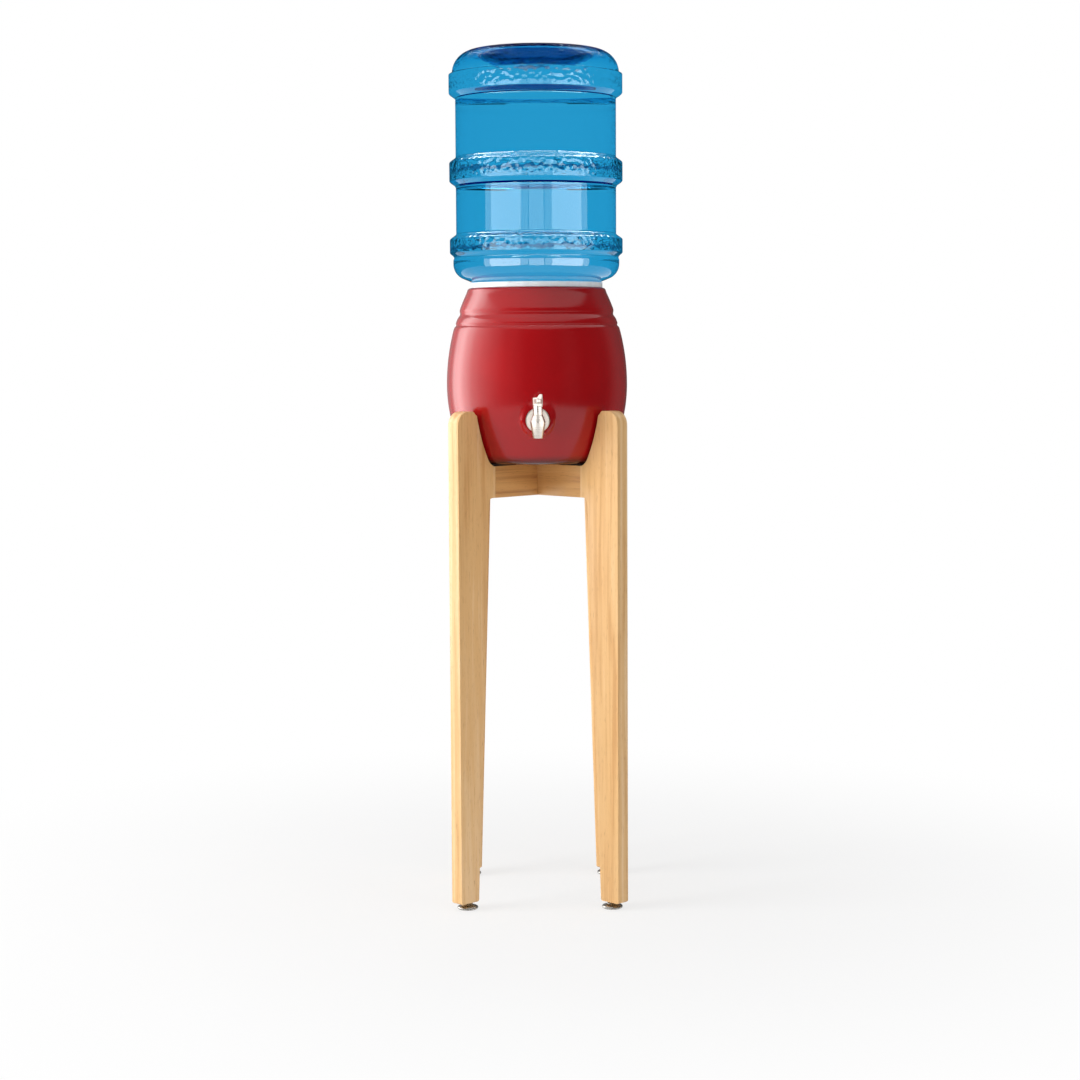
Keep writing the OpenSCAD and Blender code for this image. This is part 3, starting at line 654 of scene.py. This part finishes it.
def build_seat_ring():
    edge = (SEAT_HIGH[0] - SEAT_LOW[0]) / 2
    top, rim, low = SEAT_TOP, RIM_TOP, SEAT_LOW[2]
    slope = math.tan(math.radians(22))
    flat_in, lip_in = edge - 3.3 * MM, 72 * MM
    skirt_out, skirt_in = 79.2 * MM, 75 * MM
    outline = rounded([(skirt_in + 1 * MM, low), (skirt_out, low), (skirt_out, rim - 2 * MM),
                       (81.8 * MM, rim + 0.02 * MM), (edge, rim + 0.02 * MM), (edge, top),
                       (flat_in, top), (lip_in, top - (flat_in - lip_in) * slope),
                       (lip_in, rim - 1 * MM), (skirt_in, rim - 5 * MM), (skirt_in, low),
                       (skirt_in + 1 * MM, low)], 0.9 * MM, 5)[:-1]
    bm = bmesh.new()
    spun(bm, outline, 256, (0, AXIS_Y, 0))
    finish(bm, "moulded_seat_ring", [white_plastic()], "seat_ring", ["seat_ring"], 40)


# ---------- bottle ----------

SHELL = 1.6 * MM
PEBBLE_DEPTH = 0.0015
WATER_AND_WALL_IOR = 1.36
WATER_TOP = BOTTLE_HIGH[2] - 36 * MM
WALL_R = 111.7 * MM
RIB_OUT = 9 * MM
BOTTLE_UP = BOTTLE_HIGH[2] - SEAT_TOP
RIB_BANDS = [(SEAT_TOP + low * BOTTLE_UP, SEAT_TOP + high * BOTTLE_UP) for low, high in
             ((0.1033, 0.2129), (0.4133, 0.5448), (0.7921, 0.9236))]
CROWN_PEBBLES = (RIB_BANDS[2][1] + 1 * MM, RIB_BANDS[2][1] + 7 * MM)


def smooth_step(value, low, high):
    t = max(0.0, min(1.0, (value - low) / (high - low)))
    return t * t * (3 - 2 * t)


def bottle_outline(inward):
    """The bottle's skin at a depth inward, from the neck's mouth up to the middle of its base.
    The wall thickens towards the base, as in a blown bottle."""
    slope = math.radians(22)
    shoulder_r, shoulder_x = 22 * MM, WALL_R - 17.7 * MM
    in_x = shoulder_x + shoulder_r * math.sin(slope)
    in_z = SEAT_TOP + 0.3 * MM + (in_x - 89 * MM) * math.tan(slope)
    shoulder_z = in_z + shoulder_r * math.cos(slope)
    neck_r = 27.5 * MM
    neck_top = in_z - (in_x - neck_r - 3 * MM) * math.tan(slope)
    mouth = BOTTLE_LOW[2]
    skin = []
    if inward == 0:
        skin += rounded([(neck_r - 0.4 * MM, mouth), (neck_r, mouth + 0.5 * MM),
                         (neck_r, neck_top - 14 * MM), (neck_r + 2.5 * MM, neck_top - 13 * MM),
                         (neck_r + 2.5 * MM, neck_top - 10 * MM), (neck_r, neck_top - 9 * MM),
                         (neck_r, neck_top - 4 * MM), (neck_r + 3 * MM, neck_top),
                         (neck_r + 12 * MM, neck_top + 9 * MM * math.tan(slope))], 1.5 * MM, 3)
    else:
        skin += [(neck_r - inward, mouth + 0.4 * MM), (neck_r - inward, neck_top - 4 * MM),
                 (neck_r - inward * 0.6 + 3 * MM, neck_top + inward)]
    skin += arc(shoulder_x, shoulder_z, shoulder_r - inward, -68, 0, 12 if inward else 40)
    top = RIB_BANDS[2][1] - 8 * MM
    z = shoulder_z + 3 * MM
    while z < top:
        skin.append((bottle_radius(z) - inward, z))
        curved = abs(bottle_radius(z + 1.5 * MM) - bottle_radius(z)) > 0.01 * MM
        z += (1 if curved else 3) * MM * (2.5 if inward else 0.8)
    crown_r, base_t = 31 * MM, inward * 3.8
    crown_x, crown_z = WALL_R + 4.3 * MM - crown_r, BOTTLE_HIGH[2] - crown_r
    skin += [(crown_x + crown_r + 1.4 * MM - inward, crown_z - 2.2 * MM)]
    count = 12 if inward else 48
    for i in range(count + 1):
        a = math.radians(90 * i / count)
        r = crown_r - inward - (base_t - inward) * (i / count) ** 2
        skin.append((crown_x + r * math.cos(a), crown_z + r * math.sin(a)))
    base = BOTTLE_HIGH[2] - base_t
    skin += rounded([skin[-1], (WALL_R - 33 * MM, base), (WALL_R - 38 * MM, base - 6 * MM),
                     (WALL_R - 60 * MM, base - 15 * MM), (WALL_R - 88 * MM, base - 17.6 * MM),
                     (0, base - 18 * MM)], 5 * MM, 4)[1:]
    return skin


def bottle_radius(z):
    """The outer radius between shoulder and crown: the wall and its three ribs."""
    radius = WALL_R
    for low, high in RIB_BANDS:
        radius += RIB_OUT * (smooth_step(z, low, low + 9 * MM) - smooth_step(z, high - 9 * MM, high))
    return radius + 4.3 * MM * (1 - smooth_step(z, RIB_BANDS[0][0] - 2 * MM, RIB_BANDS[0][0] + 6 * MM))


def build_bottle():
    outer = bottle_outline(0)
    inner = bottle_outline(SHELL)
    bm = bmesh.new()
    outside = bm.verts.layers.float.new("outer_skin")
    thick_and_painted_shade = bm.verts.layers.float.new("thick_base_painted_shade")
    spun(bm, outer, 256, (0, AXIS_Y, 0), closed=False)
    for vert in bm.verts:
        vert[outside] = 1.0
        # the thick middle of the base, tinted dark navy both for its thicker plastic and as painted
        # shade
        if math.hypot(vert.co.x, vert.co.y - AXIS_Y) < WALL_R - 33.5 * MM:
            vert[thick_and_painted_shade] = float(vert.co.z > BOTTLE_HIGH[2] - 30 * MM)
    spun(bm, inner[::-1], 256, (0, AXIS_Y, 0), closed=False)
    bmesh.ops.bridge_loops(bm, edges=[e for e in bm.edges if e.is_boundary])
    bmesh.ops.recalc_face_normals(bm, faces=bm.faces)
    finish(bm, "blown_bottle", [blue_polycarbonate()], "bottle", ["bottle"], 60)


# ---------- tap ----------


def build_tap():
    stem = (0, STEM_Y, 0)
    steel = brushed_stainless("brushed_stainless", stem)
    flange_steel = brushed_stainless("brushed_stainless_flange", (0, STEM_Y, TAP_Z), "Y", 0.42)
    barrel_steel = brushed_stainless("brushed_stainless_barrel", (0, STEM_Y, TAP_Z), "Y")
    low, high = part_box("tap_body")
    body_r, lip_r = 10.2 * MM, 6.7 * MM
    top = TAP_Z + 8 * MM
    cone = [(4.6 * MM, low[2] + 10 * MM), (4.6 * MM, low[2] + 0.6 * MM), (5.2 * MM, low[2]),
            (lip_r - 0.5 * MM, low[2]), (lip_r, low[2] + 0.7 * MM)]
    cone += arc(body_r - 3 * MM, TAP_Z - 1.6 * MM, 3 * MM, -12, 22, 8)
    cone += [(6.9 * MM, top - 0.9 * MM), (6.7 * MM, top - 0.3 * MM), (6.3 * MM, top),
             (5.5 * MM, top), (5.5 * MM, top - 6 * MM), (0, top - 6 * MM)]
    bm = bmesh.new()
    spun(bm, [(0, low[2] + 10 * MM)] + cone, 96, stem, closed=False)
    body_faces = len(bm.faces)
    flange_front = FLANGE_LOW[1]
    barrel_end = STEM_Y + 6.65 * MM
    barrel = rounded([(0, barrel_end), (8.6 * MM, barrel_end), (8.6 * MM, flange_front - 1.6 * MM),
                      (9.4 * MM, flange_front - 0.9 * MM), (9.4 * MM, flange_front),
                      (7.85 * MM, flange_front + 0.01 * MM), (7.85 * MM, high[1] - 1 * MM),
                      (7.2 * MM, high[1]), (0, high[1])], 0.5 * MM, 3)
    spun(bm, barrel, 72, (0, 0, TAP_Z), "Y", closed=False)
    bm.faces.ensure_lookup_table()
    for face in bm.faces[body_faces:]:
        face.material_index = 1
    finish(bm, "cast_tap_body", [steel, barrel_steel], "crock", ["tap_body"], 50)

    flange_r = (FLANGE_HIGH[0] - FLANGE_LOW[0]) / 2
    plate = rounded([(7.95 * MM, flange_front), (flange_r - 1.4 * MM, flange_front),
                     (flange_r, flange_front + 1.2 * MM), (flange_r, FLANGE_HIGH[1]),
                     (7.95 * MM, FLANGE_HIGH[1])], 0.6 * MM, 4)
    bm = bmesh.new()
    spun(bm, plate, 96, (0, 0, TAP_Z), "Y")
    finish(bm, "spun_flange", [flange_steel], "crock", ["tap_flange"], 50)

    finish(softened("tap_bonnet", 0.25 * MM, 2, 25), "turned_bonnet", [steel], "crock",
           ["tap_bonnet"], 30)
    lever_steel = brushed_stainless("brushed_stainless_lever", stem, rough=0.4)
    finish(cast("lever", 0.25 * MM, 4), "cast_lever", [lever_steel], "lever", ["lever"],
           60)
    rubber = bpy.data.materials["nitrile_rubber"]
    for node in ("outer_gasket", "inner_gasket", "stem_oring", "valve_seal"):
        dress(node, rubber)
    dress("tap_nut", barrel_steel)
    dress("valve_stem", steel)
    dress("lever_pin", steel)
    bm = bmesh.new()
    bm.from_mesh(CAD["stem_spring"].data)
    bmesh.ops.remove_doubles(bm, verts=bm.verts, dist=2e-6)
    spring = finish(bm, "wound_spring", [plain_metal("spring_wire", ("#8b8d90", "#d5d7d9"), 0.15)],
                    "crock", ["stem_spring"], 60)
    low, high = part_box("stem_spring")
    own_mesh(spring)


# ---------- floor, world and lamps ----------

def white_room():
    """A plain pale floor that fades to white, and a world that is white to the eye."""
    bm = bmesh.new()
    bmesh.ops.create_circle(bm, cap_ends=True, segments=96, radius=14)
    _, tree, shader = staged(bm, "floor", "pale_floor")
    where = placed(tree, (0, AXIS_Y, 0))
    away = add(tree, "ShaderNodeVectorMath", {"operation": "LENGTH"}, i0=where).outputs["Value"]
    shade = noise(tree, where, 3.0)
    connect(tree, shader, Base_Color=ramp(tree, shade, [(0.2, "#ececec"), (0.8, "#f0f0f0")]),
            Roughness=0.9, Specular_IOR_Level=0.1)
    glow = add(tree, "ShaderNodeEmission", Color=(1, 1, 1, 1), Strength=1.0)
    far = between(tree, away, 0.2, 1.2, 0.72, 1.0)
    blend = add(tree, "ShaderNodeMixShader", Fac=math_node(tree, "MULTIPLY", eye_rays(tree), far),
                i1=shader.outputs[0], i2=glow.outputs[0])
    show(tree, blend.outputs[0])

    world = bpy.data.worlds.new("studio")
    bpy.context.scene.world = world
    world.use_nodes = True
    tree = world.node_tree
    tree.nodes.clear()
    back = add(tree, "ShaderNodeBackground", Color=(1, 1, 1, 1),
               Strength=math_node(tree, "MAXIMUM", eye_rays(tree), AMBIENT))
    add(tree, "ShaderNodeOutputWorld", Surface=back.outputs[0])


def staged(bm, name, material_name):
    """A stage piece with a material of its own, and that material's tree and shader."""
    mesh = bpy.data.meshes.new(name)
    bm.to_mesh(mesh)
    bm.free()
    piece = bpy.data.objects.new(name, mesh)
    bpy.context.scene.collection.objects.link(piece)
    material, tree, shader = new_material(material_name)
    mesh.materials.append(material)
    return piece, tree, shader


def eye_rays(tree):
    """1 for what the camera sees, straight, through the clear bottle or mirrored."""
    path = add(tree, "ShaderNodeLightPath")
    return math_node(tree, "MAXIMUM", path.outputs["Is Camera Ray"], math_node(
        tree, "MAXIMUM", path.outputs["Is Glossy Ray"], path.outputs["Is Transmission Ray"]))


def show(tree, surface):
    output = next(n for n in tree.nodes if n.bl_idname == "ShaderNodeOutputMaterial")
    tree.links.new(surface, output.inputs["Surface"])


AMBIENT = 0.45                # strength of the world as a lamp; to the eye it is 1
TENT_R = 2.65
# brightness of what glossy surfaces mirror, by angle from the front to the right
CROCK_TENT = [(-180, 0.2), (-140, 0.6), (-128, 3.5), (-115, 5.5), (-102, 4.4), (-86, 2.4),
              (-73, 1.4), (-61, 0.8), (-38, 0.36), (-10, 0.08), (60, 0.04), (95, 0.07),
              (118, 0.2), (150, 0.1)]


def levels_round(tree, stops):
    """A grey level that changes with the angle round the crock, as a share of the brightest."""
    place = add(tree, "ShaderNodeSeparateXYZ", Vector=placed(tree, (0, AXIS_Y, 0)))
    angle = math_node(tree, "ARCTAN2", place.outputs["X"],
                      math_node(tree, "MULTIPLY", place.outputs["Y"], -1.0))
    share = math_node(tree, "ADD", math_node(tree, "DIVIDE", angle, math.tau), 0.5)
    brightest = max(1.0, max(level for _, level in stops))
    return ramp(tree, share, [(degrees / 360 + 0.5, (level / brightest,) * 3 + (1,))
                              for degrees, level in stops])


def lit_only(lamp, name, pieces):
    """Limits a lamp, or a glowing sheet, to the pieces."""
    lit = bpy.data.collections.new(name + "_lights")
    for piece in pieces:
        lit.objects.link(piece)
    lamp.light_linking.receiver_collection = lit


def tent(name, stops, pieces):
    """A round wall of light, seen only in reflections, whose brightness is set by angle.

    It lights only its pieces, but it hides the white world from mirrored rays of all pieces.
    """
    low, high = -0.4, 2.6
    bm = bmesh.new()
    bmesh.ops.create_cone(bm, cap_ends=False, segments=96, radius1=TENT_R, radius2=TENT_R,
                          depth=high - low,
                          matrix=Matrix.Translation((0, AXIS_Y, (low + high) / 2)))
    wall, tree, _ = staged(bm, name, name + "_glow")
    for ray in ("camera", "diffuse", "transmission", "volume_scatter", "shadow"):
        setattr(wall, "visible_" + ray, False)
    show(tree, add(tree, "ShaderNodeEmission", Color=levels_round(tree, stops),
                   Strength=max(1.0, max(level for _, level in stops))).outputs[0])
    lit_only(wall, name, pieces)


def mirrored_box(name, degrees, spread, away, low, high, level, pieces, tint="#ffffff"):
    """A softbox of a given brightness, at an angle round the crock, that is only mirrored."""
    width = 2 * away * math.tan(math.radians(spread))
    turn = math.radians(degrees)
    place = Vector((away * math.sin(turn), AXIS_Y - away * math.cos(turn), (low + high) / 2))
    lamp = softbox(name, place, (0, AXIS_Y, place.z), width, high - low,
                   level * math.pi * width * (high - low), tint)
    for ray in ("camera", "diffuse", "transmission", "volume_scatter"):
        setattr(lamp, "visible_" + ray, False)
    lamp.visible_glossy = True
    lit_only(lamp, name, pieces)
    return lamp


def light_room():
    middle = (0, AXIS_Y, 0.6)
    softbox("key", (-2.45, -0.75, 1.15), middle, 1.5, 2.4, 62)
    softbox("fill", (1.9, -2.0, 1.2), middle, 1.0, 2.2, 10)
    softbox("top", (-0.3, -0.5, 3.2), (0, AXIS_Y, 0.9), 1.6, 1.6, 12)
    bottle = {bpy.data.objects["blown_bottle"]}
    flange = {bpy.data.objects["spun_flange"]}
    tap = {bpy.data.objects[name] for name in ("cast_tap_body", "turned_bonnet", "cast_lever")}
    pieces = {piece for piece in bpy.data.objects if piece.type == "MESH"}
    tent("crock_tent", CROCK_TENT, pieces - bottle - tap - flange)
    mirrored_box("bottle_pane_middle", 0, 10, 1.3, 0.3, 1.13, 7.0, bottle)
    for side, name in ((-1, "left"), (1, "right")):
        mirrored_box("bottle_pane_wide_" + name, side * 43, 32, 1.3, 0.3, 1.13, 5.0, bottle)
        mirrored_box("bottle_pane_narrow_" + name, side * 43, 22, 1.24, 0.3, 1.13, 7.0, bottle)
        mirrored_box("bottle_side_" + name, side * 135, 36, 1.6, 0.2, 1.9, 0.4, bottle, "#2fa8e0")
    high_away, high_up = 0.75, 2.25
    for degrees, name in ((-100, "left"), (0, "front"), (100, "right")):
        turn = math.radians(degrees)
        high = softbox("bottle_high_" + name,
                       (high_away * math.sin(turn), -high_away * math.cos(turn), high_up),
                       (0, AXIS_Y, 1.04), 1.6, 0.7, 70)
        high.visible_glossy = True
        for ray in ("camera", "diffuse", "volume_scatter"):
            setattr(high, "visible_" + ray, False)
        lit_only(high, "bottle_high_" + name, bottle)
    mirrored_box("tap_left", -58, 42, 1.6, 0.05, 1.9, 2.2, tap)
    mirrored_box("tap_far_left", -135, 33, 1.6, 0.05, 1.9, 1.6, tap)
    mirrored_box("tap_right", 60, 44, 1.6, 0.05, 1.9, 1.8, tap)
    mirrored_box("lever_front", -10, 45, 1.8, 0.05, 1.9, 1.0, {bpy.data.objects["cast_lever"]})
    mirrored_box("flange_front", -8, 38, 2.0, 0.05, 1.5, 1.8, flange)


def set_view():
    bpy.context.scene.view_settings.view_transform = "Standard"


place_camera()
set_view()
white_room()
build_stand()
build_feet()
build_crock()
build_seat_ring()
build_bottle()
build_tap()
light_room()
